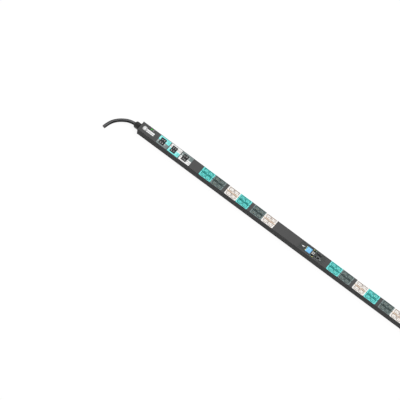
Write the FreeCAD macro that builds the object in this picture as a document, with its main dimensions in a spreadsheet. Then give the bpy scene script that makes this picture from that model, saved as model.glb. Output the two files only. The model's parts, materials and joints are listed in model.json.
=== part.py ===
import FreeCAD, Part
import math
import os
import re

import Sketcher

# Vertical rack power strip, lying on its back: +X runs from the cord end to the far end,
# +Z is the way the outlets face, and the origin is the middle of the flat rear face.
# The chassis is a welded box of flat steel walls: a back plate with two rails, and outside them
# two side walls that carry the face plates. Lengths are in millimetres.

V = FreeCAD.Vector

DIMENSIONS = {
    # chassis
    "strip_length": 1829.0,
    "strip_width": 56.0,
    "strip_depth": 63.0,
    "gauge": 1.5,
    "cap_gauge": 2.0,
    "wall_reach": 41.0,
    "edge_round": 1.4,
    "face_joint": 7.0,
    "joint_gap": 0.2,
    "window_clearance": 0.2,
    "rail_height": 34.0,
    "tab_length": 12.0,
    "tab_low": 3.0,
    "tab_high": 33.0,
    # fasteners
    "screw_radius": 1.5,
    "screw_head_radius": 2.9,
    "screw_reach": 5.5,
    "cross_slot": 0.7,
    "cross_depth": 0.9,
    "seam_screw_height": 28.0,
    "low_screw_height": 10.0,
    "cap_screw_inset": 8.0,
    "seam_screw_margin": 130.0,
    "seam_screw_bays": 6,
    "insert_spacing": 1556.0,
    "insert_radius": 4.0,
    "insert_bore": 2.5,
    "insert_height": 6.0,
    "ground_across": -14.0,
    "ground_height": 9.0,
    "ground_radius": 2.5,
    "ground_inside": 8.0,
    "ground_outside": 2.0,
    "washer_radius": 5.0,
    "washer_gauge": 0.8,
    "ground_head_radius": 4.6,
    "ground_head_height": 2.6,
    "ground_slot_width": 1.2,
    "ground_slot_depth": 1.0,
    # cable gland and cord, measured outwards from the cord end cap
    "gland_height": 31.5,
    "stem_radius": 15.8,
    "stem_length": 12.0,
    "gland_bore": 11.0,
    "body_hex_radius": 20.7,
    "body_hex_length": 8.0,
    "collar_radius": 15.0,
    "collar_end": 18.0,
    "nut_hex_radius": 19.6,
    "nut_start": 8.5,
    "nut_chamfer": 1.2,
    "nut_shoulder": 26.0,
    "nut_brow": 30.0,
    "nut_crown": 33.5,
    "nut_end": 35.0,
    "nut_fit": 0.05,
    "seal_fit": 0.1,
    "seal_radius": 13.4,
    "seal_end": 30.0,
    "nut_mouth": 10.0,
    "locknut_radius": 23.0,
    "locknut_length": 6.0,
    "cord_radius": 9.5,
    "wire_radius": 2.2,
    "wire_offset": 3.0,
    "wire_grip": 10.0,
    # lamps near the cord end
    "lamp_across": 18.0,
    "green_lamp_along": 60.5,
    "green_lamp_radius": 4.2,
    "white_lamp_along": 73.0,
    "white_lamp_radius": 2.6,
    "lamp_shoulder": 1.0,
    "lamp_rim": 0.8,
    "lamp_height": 2.3,
    # circuit breakers and their label plates
    "label_start": 119.3,
    "label_length": 71.8,
    "label_pitch": 74.7,
    "label_width": 52.0,
    "label_gauge": 0.5,
    "breaker_along": 29.0,
    "case_length": 31.6,
    "case_width": 36.6,
    "case_depth": 30.0,
    "rim_length": 33.0,
    "rim_width": 38.0,
    "rim_top": 1.5,
    "pocket_length": 28.8,
    "pocket_width": 16.9,
    "pocket_depth": 13.0,
    "rocker_across": 9.1,
    "rocker_width": 16.3,
    "rocker_half": 13.2,
    "rocker_tip": 5.6,
    "rocker_valley": 3.4,
    "rocker_side": 1.5,
    "rocker_keel": 3.2,
    "rocker_keel_half": 5.0,
    "rocker_tilt": 11.0,
    "pivot_depth": 4.0,
    "pivot_radius": 1.5,
    "pivot_clearance": 0.05,
    # outlet banks
    "group_start": 408.8,
    "second_group_start": 1253.3,
    "pair_pitch": 169.75,
    "bank_pitch": 75.2,
    "bank_length": 74.8,
    "bank_width": 54.4,
    "bank_proud": 2.0,
    "bank_body_length": 72.0,
    "bank_body_width": 51.6,
    "bank_depth": 27.0,
    "bank_corner": 3.0,
    "bank_notch": 1.6,
    "bank_groove": 1.2,
    "outlet_pitch": 31.2,
    "outlet_across": 13.6,
    "moat_length": 29.4,
    "moat_width": 21.6,
    "moat_chamfer": 6.4,
    "moat_depth": 17.0,
    "tongue_length": 24.2,
    "tongue_width": 16.4,
    "tongue_chamfer": 4.6,
    "tongue_sink": 1.0,
    "slot_length": 2.4,
    "slot_width": 5.0,
    "slot_depth": 18.0,
    "slot_along": 7.0,
    "slot_across": 1.6,
    "earth_across": -2.9,
    "contact_gauge": 1.4,
    "contact_width": 4.2,
    "contact_top": 4.0,
    # conductors inside
    "bar_gauge": 2.0,
    "bar_height": 12.0,
    "bar_low": 9.0,
    "bar_pitch": 9.0,
    "bar_margin": 70.0,
    "bar_start": 104.0,
    "terminal_radius": 3.2,
    "terminal_depth": 6.0,
    "support_length": 10.0,
    "support_width": 44.0,
    "support_height": 24.0,
    "support_inset": 50.0,
    "support_bays": 5,
    "block_start": 58.0,
    "block_length": 44.0,
    "block_width": 44.0,
    "block_height": 38.0,
    # controller, measured along from its own start
    "panel_start": 1064.5,
    "panel_length": 159.8,
    "panel_width": 44.0,
    "panel_sink": 0.8,
    "panel_lip": 3.0,
    "panel_gauge": 1.5,
    "window_along": 55.7,
    "window_length": 35.8,
    "window_width": 31.0,
    "window_gauge": 1.2,
    "module_length": 40.0,
    "module_width": 36.0,
    "module_gauge": 5.0,
    "module_gap": 0.2,
    "module_leg_radius": 1.5,
    "module_leg_inset": 3.0,
    "board_top": 16.8,
    "board_gauge": 1.6,
    "board_length": 152.0,
    "standoff_radius": 2.5,
    "standoff_along": 5.0,
    "standoff_across": 19.0,
    "key_along": 86.1,
    "key_pitch": 10.4,
    "key_pitch_across": 10.4,
    "key_length": 8.4,
    "key_width": 8.6,
    "key_proud": 1.1,
    "key_skirt": 0.65,
    "key_skirt_top": 3.4,
    "key_bottom": 5.5,
    "key_clearance": 0.3,
    "switch_size": 6.0,
    "switch_top": 6.5,
    "reset_along": 137.2,
    "reset_across": -8.3,
    "reset_radius": 2.2,
    "reset_flange": 1.0,
    "reset_proud": 0.2,
    "jack_along": 86.4,
    "jack_across": 15.9,
    "jack_length": 15.4,
    "jack_width": 10.2,
    "jack_mouth_length": 11.8,
    "jack_mouth_width": 6.3,
    "jack_mouth_shift": 1.5,
    "jack_mouth_depth": 13.0,
    "jack_lamp_along": 5.7,
    "jack_lamp_shift": 3.5,
    "jack_lamp_length": 3.0,
    "jack_lamp_width": 2.2,
    "jack_lamp_gauge": 1.6,
    "usb_along": 117.2,
    "usb_across": 11.0,
    "usb_length": 31.0,
    "usb_width": 9.0,
    "usb_pitch": 15.0,
    "usb_mouth_length": 12.6,
    "usb_mouth_width": 5.2,
    "usb_mouth_depth": 11.0,
    "sensor_along": 107.9,
    "sensor_across": -10.1,
    "sensor_length": 13.0,
    "sensor_width": 9.6,
    "sensor_mouth_length": 10.0,
    "sensor_mouth_width": 6.6,
    "expansion_along": 122.7,
    "expansion_across": -8.0,
    "expansion_length": 14.6,
    "expansion_width": 14.0,
    "expansion_mouth_length": 11.8,
    "expansion_mouth_width": 8.0,
    "port_mouth_depth": 12.0,
}

doc = FreeCAD.newDocument("rack_power_strip")
sheet = doc.addObject("Spreadsheet::Sheet", "dims")
for row, (alias, value) in enumerate(DIMENSIONS.items(), start=1):
    sheet.set(f"A{row}", alias)
    sheet.set(f"B{row}", str(value))
    sheet.setAlias(f"B{row}", alias)
doc.recompute()

nodes = []


# ---- helpers ------------------------------------------------------------------------------

def cells(text):
    """An expression in which each driving dimension is read from the sheet."""
    def named(match):
        word = match.group()
        return f"dims.{word}" if word in DIMENSIONS else word
    return re.sub(r"[a-z_]+", named, str(text))


def size(alias):
    """A driving dimension's present value."""
    return float(sheet.get(alias))


def place(thing, at):
    """Binds a thing's position to three expressions."""
    for letter, text in zip("xyz", at):
        thing.setExpression(f"Placement.Base.{letter}", cells(text))
    return thing


def box(name, sizes, at):
    """A block from its three sizes and its low corner."""
    solid = doc.addObject("Part::Box", name)
    for side, text in zip(("Length", "Width", "Height"), sizes):
        solid.setExpression(side, cells(text))
    return place(solid, at)


def centred_box(name, length, width, low, high, along="0", across="0"):
    """A block centred on a point of the XY plane, between two heights."""
    corner = (f"{along} - ({length})/2", f"{across} - ({width})/2", low)
    return box(name, (length, width, f"({high}) - ({low})"), corner)


def rod(name, radius, height, at, rotation=None):
    """A cylinder that stands on a point, turned first if it doesn't point up."""
    solid = doc.addObject("Part::Cylinder", name)
    solid.setExpression("Radius", cells(radius))
    solid.setExpression("Height", cells(height))
    if rotation:
        solid.Placement = FreeCAD.Placement(V(), rotation)
    return place(solid, at)


def cone(name, low_radius, high_radius, height, at, rotation):
    """A cone frustum that stands on a point."""
    solid = doc.addObject("Part::Cone", name)
    solid.setExpression("Radius1", cells(low_radius))
    solid.setExpression("Radius2", cells(high_radius))
    solid.setExpression("Height", cells(height))
    solid.Placement = FreeCAD.Placement(V(), rotation)
    return place(solid, at)


def hexagon(name, corner_radius, height, at, rotation=None):
    """A hexagonal bar that stands on a point."""
    solid = doc.addObject("Part::Prism", name)
    solid.Polygon = 6
    solid.setExpression("Circumradius", cells(corner_radius))
    solid.setExpression("Height", cells(height))
    if rotation:
        solid.Placement = FreeCAD.Placement(V(), rotation)
    return place(solid, at)


def group(name, things):
    """Separate solids that travel together."""
    compound = doc.addObject("Part::Compound", name)
    compound.Links = things
    return compound


def joined(name, things):
    """One solid from several that touch."""
    fusion = doc.addObject("Part::MultiFuse", name)
    fusion.Shapes = things
    return fusion


def less(name, base, tools):
    """A solid with the tools taken away."""
    cut = doc.addObject("Part::Cut", name)
    cut.Base = base
    cut.Tool = tools[0] if len(tools) == 1 else group(f"{name}_tools", tools)
    return cut


def node(thing, label):
    """Makes a thing one of the strip's named pieces."""
    thing.Label = label
    nodes.append(thing)
    return thing


def plane_of(body, role):
    return next(item for item in body.Origin.OriginFeatures if item.Role == role)


def outline(body, role, points):
    """A closed outline of straight sides whose corners are bound to expressions."""
    sketch = body.newObject("Sketcher::SketchObject", f"{body.Name}_outline")
    sketch.AttachmentSupport = [(plane_of(body, role), "")]
    sketch.MapMode = "FlatFace"
    corners = []
    for pair in points:
        for text in pair:
            sheet.set("D1", "=" + re.sub("dims[.]", "", cells(text)))
            sheet.recompute()
            corners.append(float(sheet.get("D1")))
    spots = [V(corners[i], corners[i + 1], 0) for i in range(0, len(corners), 2)]
    count = len(spots)
    for i in range(count):
        sketch.addGeometry(Part.LineSegment(spots[i], spots[(i + 1) % count]), False)
    for i in range(count):
        sketch.addConstraint(Sketcher.Constraint("Coincident", i, 2, (i + 1) % count, 1))
    for i, pair in enumerate(points):
        for kind, text, value in zip(("DistanceX", "DistanceY"), pair, (spots[i].x, spots[i].y)):
            index = sketch.addConstraint(Sketcher.Constraint(kind, -1, 1, i, 1, value))
            sketch.setExpression(f"Constraints[{index}]", cells(text))
    return sketch


def padded(name, role, points, length, midplane=True):
    """A body padded from an outline, evenly both ways or along the plane's normal."""
    body = doc.addObject("PartDesign::Body", name)
    sketch = outline(body, role, points)
    pad = body.newObject("PartDesign::Pad", f"{name}_pad")
    pad.Profile = sketch
    pad.setExpression("Length", cells(length))
    pad.SideType = "Symmetric" if midplane else "One side"
    return body


def turned(name, points):
    """A body turned about Z from an outline given as radius and height."""
    body = doc.addObject("PartDesign::Body", name)
    sketch = outline(body, "XZ_Plane", points)
    turn = body.newObject("PartDesign::Revolution", f"{name}_turn")
    turn.Profile = sketch
    turn.ReferenceAxis = (sketch, ["V_Axis"])
    turn.Angle = 360.0
    return body


def cornered(half_length, half_width, chamfer):
    """A rectangle whose two lower corners are cut off."""
    return [
        (f"-({half_length})", half_width),
        (f"-({half_length})", f"{chamfer} - ({half_width})"),
        (f"{chamfer} - ({half_length})", f"-({half_width})"),
        (f"{half_length} - {chamfer}", f"-({half_width})"),
        (half_length, f"{chamfer} - ({half_width})"),
        (half_length, half_width),
    ]


OUTWARD = FreeCAD.Rotation(V(0, 1, 0), -90)
SIDEWAYS = {1: FreeCAD.Rotation(V(1, 0, 0), -90), -1: FreeCAD.Rotation(V(1, 0, 0), 90)}
CORD_END = "-strip_length/2"
FACE = "strip_depth"


# ---- fasteners of the chassis ---------------------------------------------------------------

def countersunk(name, along, side, height, surface):
    """A flush cross-head screw driven in through a side wall, and its blank."""
    rotation = SIDEWAYS[-side]
    head_at = (along, f"{side}*({surface})", height)
    head = cone(f"{name}_head", "screw_head_radius", "screw_radius", "gauge", head_at, rotation)
    shank = rod(f"{name}_shank", "screw_radius", "screw_reach", head_at, rotation)
    blank = joined(f"{name}_blank", [head, shank])
    deep = f"{side}*(({surface}) - cross_depth/2) - cross_depth/2"
    bars = [
        box(f"{name}_slot_a", ("4*cross_slot", "cross_depth", "cross_slot"),
            (f"{along} - 2*cross_slot", deep, f"{height} - cross_slot/2")),
        box(f"{name}_slot_b", ("cross_slot", "cross_depth", "4*cross_slot"),
            (f"{along} - cross_slot/2", deep, f"{height} - 2*cross_slot")),
    ]
    return blank, less(f"{name}_screw", blank, [joined(f"{name}_cross", bars)])


screw_blanks = {1: [], -1: []}
seam_screws = []
seam_step = "(strip_length - 2*seam_screw_margin)/seam_screw_bays"
for side in (1, -1):
    for bay in range(int(size("seam_screw_bays")) + 1):
        along = f"{CORD_END} + seam_screw_margin + {bay}*{seam_step}"
        side_word = "left" if side > 0 else "right"
        blank, screw = countersunk(f"seam_{side_word}_{bay}", along, side,
                                   "seam_screw_height", "strip_width/2")
        screw_blanks[side].append(blank)
        seam_screws.append(screw)

cap_blanks = []
cap_screws = []
for end, end_word in ((-1, "cord"), (1, "far")):
    for side, side_word in ((1, "left"), (-1, "right")):
        along = f"{end}*(strip_length/2 - cap_screw_inset)"
        for level, surface in (("seam", "strip_width/2"), ("low", "strip_width/2 - gauge")):
            blank, screw = countersunk(f"cap_{end_word}_{side_word}_{level}", along, side,
                                       f"{level}_screw_height", surface)
            cap_blanks.append(blank)
            screw_blanks[side].append(blank)
            cap_screws.append(screw)

insert_blanks = []
insert_bores = []
for end in (-1, 1):
    word = "cord" if end < 0 else "far"
    at = (f"{end}*insert_spacing/2", "0", "0")
    insert_blanks.append(rod(f"insert_{word}", "insert_radius", "insert_height", at))
    insert_bores.append(rod(f"insert_bore_{word}", "insert_bore", "insert_height", at))
all_inserts = group("insert_blanks", insert_blanks)

node(group("seam_screw_set", seam_screws), "seam_screws")
node(group("cap_screw_set", cap_screws), "end_cap_screws")
node(less("insert_set", all_inserts, insert_bores), "mounting_inserts")


# ---- chassis --------------------------------------------------------------------------------

RUN = "(strip_length - 2*cap_gauge)"
INNER = "(strip_width/2 - gauge)"
WALL_LOW = "(strip_depth - wall_reach)"
PANEL = f"{CORD_END} + panel_start"

back_blank = box("back_blank", (RUN, f"2*{INNER}", "gauge"), (f"-{RUN}/2", f"-{INNER}", "0"))
node(less("back", back_blank, [all_inserts]), "back_plate")
for side, word in ((1, "left"), (-1, "right")):
    rail = box(f"{word}_rail_blank", (RUN, "gauge", "rail_height - gauge"),
               (f"-{RUN}/2", f"{side}*({INNER} - gauge/2) - gauge/2", "gauge"))
    node(less(f"{word}_rail_drilled", rail, screw_blanks[side]), f"{word}_rail")
    wall = box(f"{word}_wall_blank", (RUN, "gauge", "wall_reach - gauge"),
               (f"-{RUN}/2", f"{side}*(strip_width/2 - gauge/2) - gauge/2", WALL_LOW))
    node(less(f"{word}_wall_drilled", wall, screw_blanks[side]), f"{word}_wall")


def rounded_corners(body, radius):
    """Rounds the two outer corners that run along the strip beside its face."""
    doc.recompute()
    half = size("strip_width") / 2
    names = []
    for index, edge in enumerate(body.Shape.Edges, start=1):
        middle = edge.CenterOfMass
        if abs(abs(middle.y) - half) < 0.01 and abs(middle.z - size("strip_depth")) < 0.01:
            names.append(f"Edge{index}")
    sharp = body.Tip
    bend = body.newObject("PartDesign::Fillet", f"{body.Name}_bend")
    bend.Base = (sharp, names)
    bend.setExpression("Radius", cells(radius))
    body.Tip = bend
    return body


windows = {"cord": [], "controller": [], "far": []}


def face_window(part, name, length, width, middle):
    """Cuts a window in one of the face plates, a little larger than what fills it."""
    windows[part].append(centred_box(name, f"{length} + window_clearance",
                                     f"{width} + window_clearance", f"{FACE} - 2*gauge",
                                     f"{FACE} + gauge", middle))


bank_places = []
for start in ("group_start", "second_group_start"):
    for pair in range(3):
        for member in range(2):
            middle = (f"{CORD_END} + {start} + {pair}*pair_pitch"
                      f" + {member}*bank_pitch + bank_length/2")
            bank_places.append(middle)
for number, middle in enumerate(bank_places, start=1):
    face_window("cord" if number <= 6 else "far", f"bank_window_{number}",
                "bank_body_length", "bank_body_width", middle)
breaker_places = []
for number in range(3):
    middle = f"{CORD_END} + label_start + {number}*label_pitch + breaker_along"
    breaker_places.append(middle)
    face_window("cord", f"breaker_window_{number}", "case_length", "case_width", middle)
face_window("controller", "panel_window", "panel_length + window_clearance",
            "panel_width + window_clearance", f"{PANEL} + panel_length/2")
for word in ("green", "white"):
    hole = rod(f"{word}_lamp_hole", f"{word}_lamp_radius - lamp_shoulder + window_clearance/2",
               "3*gauge", (f"{CORD_END} + {word}_lamp_along", "lamp_across", f"{FACE} - 2*gauge"))
    windows["cord"].append(hole)

face_ends = {
    "cord": (f"-{RUN}/2", f"{PANEL} - face_joint - joint_gap"),
    "controller": (f"{PANEL} - face_joint", f"{PANEL} + panel_length + face_joint"),
    "far": (f"{PANEL} + panel_length + face_joint + joint_gap", f"{RUN}/2"),
}
for word, (low, high) in face_ends.items():
    face_blank = padded(f"{word}_face_blank", "YZ_Plane", [
        ("-strip_width/2", f"{FACE} - gauge"),
        ("strip_width/2", f"{FACE} - gauge"),
        ("strip_width/2", FACE),
        ("-strip_width/2", FACE),
    ], f"{high} - ({low})")
    rounded_corners(face_blank, "edge_round")
    place(face_blank, (f"({low} + {high})/2", "0", "0"))
    node(less(f"{word}_face_cut", face_blank, windows[word]), f"{word}_face_plate")


def end_cap(word, end, holes):
    """A folded end plate with two tabs inside the rails."""
    plate = padded(f"cap_{word}_plate", "YZ_Plane", [
        ("-strip_width/2", "0"),
        ("strip_width/2", "0"),
        ("strip_width/2", "strip_depth"),
        ("-strip_width/2", "strip_depth"),
    ], "cap_gauge")
    rounded_corners(plate, "edge_round")
    place(plate, (f"{end}*(strip_length/2 - cap_gauge/2)", "0", "0"))
    tabs = []
    inner = "(strip_width/2 - 2*gauge)"
    for side in (1, -1):
        tabs.append(box(f"cap_{word}_tab_{'left' if side > 0 else 'right'}",
                        ("tab_length", "gauge", "tab_high - tab_low"),
                        (f"{end}*(strip_length/2 - cap_gauge - tab_length/2) - tab_length/2",
                         f"{side}*({inner} - gauge/2) - gauge/2", "tab_low")))
    blank = joined(f"cap_{word}_folded", [plate] + tabs)
    return node(less(f"cap_{word}", blank, cap_blanks + holes), f"{word}_end_cap")


# ---- cable gland, cord and earth screw -------------------------------------------------------

GLAND_AT = (CORD_END, "0", "gland_height")


def outward(name, kind, radius, low, high):
    """A round or hexagonal bar on the gland's axis, between two distances from the cap."""
    at = (f"{CORD_END} - ({low})", "0", "gland_height")
    make = rod if kind == "round" else hexagon
    return make(name, radius, f"({high}) - ({low})", at, OUTWARD)


stem = outward("gland_stem", "round", "stem_radius", "-stem_length", "0")
body_hex = outward("gland_hex", "hex", "body_hex_radius", "0", "body_hex_length")
collar = outward("gland_collar", "round", "collar_radius", "body_hex_length", "collar_end")
bore = outward("gland_bore_tool", "round", "gland_bore", "-stem_length - 1", "collar_end + 1")
node(less("gland_lower", joined("gland_lower_blank", [stem, body_hex, collar]), [bore]), "gland_body")

nut_hex = outward("nut_hex", "hex", "nut_hex_radius", "nut_start", "nut_end")
nut_dome = turned("nut_dome", [
    ("0", "nut_start"),
    ("nut_hex_radius - nut_chamfer", "nut_start"),
    ("nut_hex_radius", "nut_start + nut_chamfer"),
    ("nut_hex_radius", "nut_shoulder"),
    ("nut_hex_radius - nut_chamfer", "nut_brow"),
    ("nut_hex_radius - 3*nut_chamfer", "nut_crown"),
    ("nut_hex_radius - 5*nut_chamfer", "nut_end"),
    ("0", "nut_end"),
])
nut_dome.Placement = FreeCAD.Placement(V(), OUTWARD)
place(nut_dome, GLAND_AT)
nut_blank = doc.addObject("Part::Common", "nut_blank")
nut_blank.Base = nut_hex
nut_blank.Tool = nut_dome
nut_bores = joined("nut_bores", [
    outward("nut_thread", "round", "collar_radius + nut_fit", "nut_start - 1", "collar_end"),
    outward("nut_seal_seat", "round", "seal_radius + seal_fit", "collar_end - 1", "seal_end"),
    outward("nut_mouth_tool", "round", "nut_mouth", "seal_end - 1", "nut_end + 1"),
])
node(less("nut", nut_blank, [nut_bores]), "gland_nut")

seal_ring = outward("seal_ring", "round", "seal_radius", "collar_end", "seal_end")
seal_hole = outward("seal_hole", "round", "cord_radius", "collar_end - 1", "seal_end + 1")
node(less("seal", seal_ring, [seal_hole]), "gland_seal")

locknut_hex = outward("locknut_hex", "hex", "locknut_radius", "-cap_gauge - locknut_length", "-cap_gauge")
node(less("locknut", locknut_hex, [stem]), "gland_locknut")



def ground_part(make, name, radius, low, high):
    """A part of the earth screw between two distances from the cap."""
    at = (f"{CORD_END} - ({low})", "ground_across", "ground_height")
    return make(name, radius, f"({high}) - ({low})", at, OUTWARD)


ground_top = "(washer_gauge + ground_head_height)"
ground_shank = ground_part(rod, "ground_shank", "ground_radius", "-ground_inside", "ground_outside")
ground_washer = ground_part(rod, "ground_washer", "washer_radius", "0", "washer_gauge")
ground_head = ground_part(hexagon, "ground_head", "ground_head_radius", "washer_gauge", ground_top)
ground_blank = joined("ground_blank", [ground_shank, ground_washer, ground_head])
ground_slot = box("ground_slot", ("ground_slot_depth", "2*washer_radius", "ground_slot_width"),
                  (f"{CORD_END} - {ground_top}", "ground_across - washer_radius",
                   "ground_height - ground_slot_width/2"))
node(less("ground", ground_blank, [ground_slot]), "ground_screw")

end_cap("cord", -1, [stem, ground_shank])
end_cap("far", 1, [])

# The cord's route, from the gland's mouth round to the cut end on the surface: each point is the
# distance beyond the cord end cap, the distance across and the height.
CORD_ROUTE = [
    (30.0, 0.0, 31.5),
    (64.0, -3.0, 31.2),
    (104.0, -21.0, 27.0),
    (134.0, -45.0, 19.0),
    (154.0, -77.0, 12.2),
    (161.5, -110.0, 9.5),
]


def cord_tube(route, radius):
    """A tube along straight runs and tangent arcs, and the arcs' radii."""
    runs = [(b - a).Length for a, b in zip(route, route[1:])]
    edges = []
    radii = []
    start = route[0]
    for i in range(1, len(route) - 1):
        before = (route[i - 1] - route[i]).normalize()
        after = (route[i + 1] - route[i]).normalize()
        half_turn = (math.pi - before.getAngle(after)) / 2
        reach = 0.45 * min(runs[i - 1], runs[i])
        arc_radius = reach / math.tan(half_turn)
        into = route[i] + before * reach
        out = route[i] + after * reach
        centre = route[i] + (before + after).normalize() * (arc_radius / math.cos(half_turn))
        top = centre + (route[i] - centre).normalize() * arc_radius
        edges.append(Part.LineSegment(start, into).toShape())
        edges.append(Part.Arc(into, top, out).toShape())
        radii.append(arc_radius)
        start = out
    edges.append(Part.LineSegment(start, route[-1]).toShape())
    path = Part.Wire(edges)
    ring = Part.Wire([Part.Circle(route[0], route[1] - route[0], radius).toShape()])
    return path.makePipeShell([ring], True, False), path.Length, radii


route = [V(-size("strip_length") / 2 - x, y, z) for x, y, z in CORD_ROUTE]
tube, tube_length, cord_radii = cord_tube(route, size("cord_radius"))
cord = doc.addObject("Part::Feature", "cord_tube")
cord.Shape = tube
node(cord, "supply_cord")
section = math.pi * size("cord_radius") ** 2
print("cord arc radii", [round(value, 1) for value in cord_radii], "length", round(tube_length, 1))
print("cord volume ratio", round(tube.Volume / (section * tube_length), 4))


# ---- power lamps ------------------------------------------------------------------------------

def lamp(word):
    """A domed lens with a shoulder on the face."""
    radius = f"{word}_lamp_radius"
    lens = turned(f"{word}_lamp_lens", [
        ("0", "-3*gauge"),
        (f"{radius} - lamp_shoulder", "-3*gauge"),
        (f"{radius} - lamp_shoulder", "0"),
        (radius, "0"),
        (radius, "lamp_rim"),
        (f"{radius}*4/5", "(lamp_rim + 2*lamp_height)/3"),
        (f"{radius}*2/5", "(lamp_rim + 14*lamp_height)/15"),
        ("0", "lamp_height"),
    ])
    place(lens, (f"{CORD_END} + {word}_lamp_along", "lamp_across", FACE))
    return node(lens, f"power_lamp_{word}")


lamp("green")
lamp("white")


# ---- circuit breakers --------------------------------------------------------------------------

label_plate = centred_box("label_plate", "label_length", "label_width", "0", "label_gauge",
                          "label_length/2 - breaker_along")
label_window = centred_box("label_window", "case_length + 0.2", "case_width + 0.2", "-1", "2")
case_rim = centred_box("case_rim", "rim_length", "rim_width", "label_gauge", "rim_top")
case_block = centred_box("case_block", "case_length", "case_width", "-case_depth", "label_gauge")
pockets = []
for side in (1, -1):
    pockets.append(centred_box(f"case_pocket_{'left' if side > 0 else 'right'}", "pocket_length",
                               "pocket_width", "-pocket_depth", "rim_top + 1",
                               "0", f"{side}*rocker_across"))
case_shell = less("case_shell", joined("case_blank", [case_rim, case_block]), pockets)
pivot = rod("case_pivot", "pivot_radius", "case_width - 1",
            ("0", "0.5 - case_width/2", "-pivot_depth"), SIDEWAYS[1])
rocker_block = padded("rocker_block", "XZ_Plane", [
    ("-rocker_half", "rocker_tip"),
    ("0", "rocker_valley"),
    ("rocker_half", "rocker_tip"),
    ("rocker_half", "rocker_side"),
    ("rocker_keel_half", "-rocker_keel"),
    ("-rocker_keel_half", "-rocker_keel"),
    ("-rocker_half", "rocker_side"),
], "rocker_width")
rocker_bore = rod("rocker_bore", "pivot_radius + pivot_clearance", "2*rocker_width",
                  ("0", "-rocker_width", "0"), SIDEWAYS[1])
for number, middle in enumerate(breaker_places, start=1):
    plate = less(f"label_{number}", label_plate, [label_window])
    node(place(plate, (middle, "0", FACE)), f"breaker_label_{number}")
    case = joined(f"case_{number}", [case_shell, pivot])
    node(place(case, (middle, "0", FACE)), f"breaker_case_{number}")
    for side in (1, -1):
        index = 2 * number - (side + 1) // 2
        rocker = less(f"rocker_{index}", rocker_block, [rocker_bore])
        rocker.Placement = FreeCAD.Placement(V(), FreeCAD.Rotation(V(0, -1, 0), size("rocker_tilt")))
        place(rocker, (middle, f"{side}*rocker_across", f"{FACE} - pivot_depth"))
        node(rocker, f"breaker_rocker_{index}")


# ---- outlet banks --------------------------------------------------------------------------------

def mirrored(quarter):
    """A closed outline from the corners of its first quarter, outermost side first."""
    full = list(quarter)
    full += [(f"-({x})", y) for x, y in reversed(quarter)]
    full += [(f"-({x})", f"-({y})") for x, y in quarter]
    full += [(x, f"-({y})") for x, y in reversed(quarter)]
    return full


flange_outline = mirrored([
    ("bank_length/2", "bank_notch"),
    ("bank_length/2", "bank_width/2 - bank_corner"),
    ("bank_length/2 - bank_corner", "bank_width/2"),
    ("bank_notch", "bank_width/2"),
])
flange = padded("bank_flange", "XY_Plane", flange_outline, "bank_proud", midplane=False)
bank_body = centred_box("bank_body", "bank_body_length", "bank_body_width", "-bank_depth", "0")
bank_blank = joined("bank_blank", [flange, bank_body])

moat_ring = padded("moat_outer", "XY_Plane",
                   cornered("moat_length/2", "moat_width/2", "moat_chamfer"),
                   "moat_depth + 1", midplane=False)
place(moat_ring, ("0", "0", "bank_proud - moat_depth"))
tongue = padded("tongue", "XY_Plane",
                cornered("tongue_length/2", "tongue_width/2", "tongue_chamfer"),
                "moat_depth - tongue_sink + 1", midplane=False)
place(tongue, ("0", "0", "bank_proud - moat_depth - 1"))
moat = less("moat", moat_ring, [tongue])
SLOTS = {
    "line": ("-slot_along", "slot_across"),
    "return": ("slot_along", "slot_across"),
    "earth": ("0", "earth_across"),
}
slots = []
contacts = []
for word, (along, across) in SLOTS.items():
    slots.append(centred_box(f"slot_{word}", "slot_length", "slot_width",
                             "bank_proud - tongue_sink - slot_depth", "bank_proud + 1",
                             along, across))
    contacts.append(centred_box(f"contact_{word}", "contact_gauge", "contact_width",
                                "bank_proud - tongue_sink - slot_depth",
                                "bank_proud - tongue_sink - contact_top", along, across))
outlet_cavity = joined("outlet_cavity", [moat] + slots)
outlet_contact = group("outlet_contact", contacts)

cavities = []
contact_sets = []
for column in (-1, 1):
    for side in (-1, 1):
        spot = (f"{column}*outlet_pitch/2", f"{side}*outlet_across", "0")
        word = f"{'near' if column < 0 else 'far'}_{'right' if side < 0 else 'left'}"
        cavities.append(place(group(f"cavity_{word}", [outlet_cavity]), spot))
        contact_sets.append(place(group(f"contacts_{word}", [outlet_contact]), spot))
groove = centred_box("bank_groove_tool", "bank_length + 2", "bank_groove",
                     "bank_proud - bank_groove", "bank_proud + 1")
bank_tools = group("bank_tools", cavities + [groove])
bank_contacts = group("bank_contacts", contact_sets)

all_contacts = []
for number, middle in enumerate(bank_places, start=1):
    bank = doc.addObject("Part::Cut", f"bank_{number:02d}")
    bank.Base = bank_blank
    bank.Tool = bank_tools
    node(place(bank, (middle, "0", FACE)), f"outlet_bank_{number:02d}")
    set_here = group(f"bank_contacts_{number:02d}", [bank_contacts])
    all_contacts.append(place(set_here, (middle, "0", FACE)))
node(group("contact_sets", all_contacts), "outlet_contacts")


# ---- conductors inside ---------------------------------------------------------------------------

bar_length = "strip_length - bar_start - bar_margin"
bars = []
for index in range(4):
    across = f"{index - 1.5}*bar_pitch"
    bars.append(box(f"bar_{index}", (bar_length, "bar_gauge", "bar_height"),
                    (f"{CORD_END} + bar_start", f"{across} - bar_gauge/2", "bar_low")))
node(group("line_bar_set", bars[:3]), "line_bars")
node(group("ground_strap", bars[3:]), "ground_bar")

supports = []
for index in range(int(size("support_bays")) + 1):
    along = (f"{CORD_END} + bar_start + support_inset"
             f" + {index}*({bar_length} - 2*support_inset)/support_bays")
    supports.append(centred_box(f"support_{index}", "support_length", "support_width",
                                "gauge", "gauge + support_height", along))
node(less("support_set", group("support_blanks", supports), bars), "bar_supports")

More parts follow.
